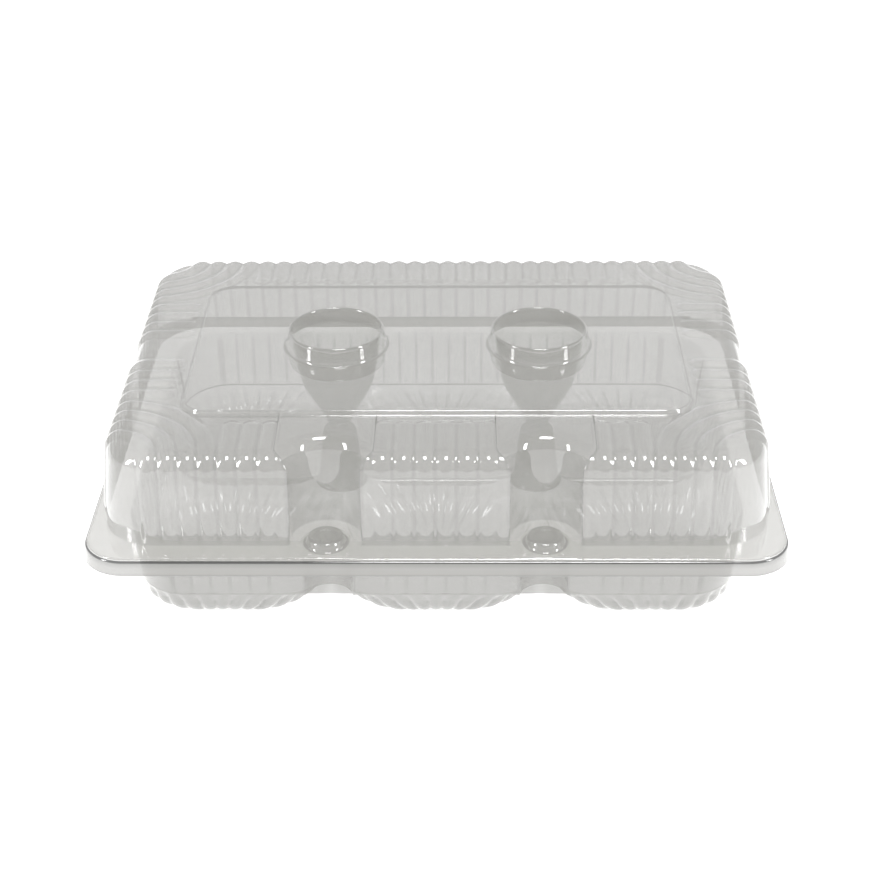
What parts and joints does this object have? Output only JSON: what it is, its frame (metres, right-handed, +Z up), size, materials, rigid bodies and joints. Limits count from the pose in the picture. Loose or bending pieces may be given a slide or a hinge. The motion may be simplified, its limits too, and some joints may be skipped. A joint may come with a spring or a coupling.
{
  "type": "hinged carton",
  "caption": "Clear thermoformed clamshell carton: cups in a tray under a hinged, fluted lid with stacking collars, inner pillars and press studs at the front rim.",
  "frame": {"origin": "on the table under the middle of the closed carton's footprint", "axes": "+Z up; +Y from the front lip towards the hinge; X along the hinge, +X right seen from the front"},
  "size_m": [0.32, 0.244, 0.1019],
  "materials": {
    "tray_sheet": "clear, glossy",
    "lid_sheet": "clear, glossy"
  },
  "bodies": {
    "tray": {"cup_front_left": "tray_sheet", "cup_front_centre": "tray_sheet", "cup_front_right": "tray_sheet", "cup_back_left": "tray_sheet", "cup_back_centre": "tray_sheet", "cup_back_right": "tray_sheet", "tray_web": "tray_sheet", "tray_post_left": "tray_sheet", "tray_post_right": "tray_sheet", "tray_wall_front": "tray_sheet", "tray_wall_back": "tray_sheet", "tray_wall_left": "tray_sheet", "tray_wall_right": "tray_sheet", "tray_lip": "tray_sheet", "tray_rim": "tray_sheet", "tray_snap_left": "tray_sheet", "tray_snap_right": "tray_sheet", "tray_hinge_leaf": "tray_sheet"},
    "lid": {"lid_rim": "lid_sheet", "lid_snap_left": "lid_sheet", "lid_snap_right": "lid_sheet", "lid_hinge_leaf": "lid_sheet", "lid_bay_left": "lid_sheet", "lid_bay_right": "lid_sheet", "lid_wall_front_left": "lid_sheet", "lid_wall_front_centre": "lid_sheet", "lid_wall_front_right": "lid_sheet", "lid_wall_back": "lid_sheet", "lid_wall_left": "lid_sheet", "lid_wall_right": "lid_sheet", "lid_border_front": "lid_sheet", "lid_border_back": "lid_sheet", "lid_border_left": "lid_sheet", "lid_border_right": "lid_sheet", "lid_panel": "lid_sheet", "lid_pillar_left": "lid_sheet", "lid_pillar_right": "lid_sheet"}
  },
  "joints": [
    {"name": "lid_hinge", "type": "hinge", "parent": "tray", "child": "lid", "pos_m": [0, 0.1223, 0.04665], "axis": [-1, 0, 0], "range_deg": [0, 174]}
  ]
}
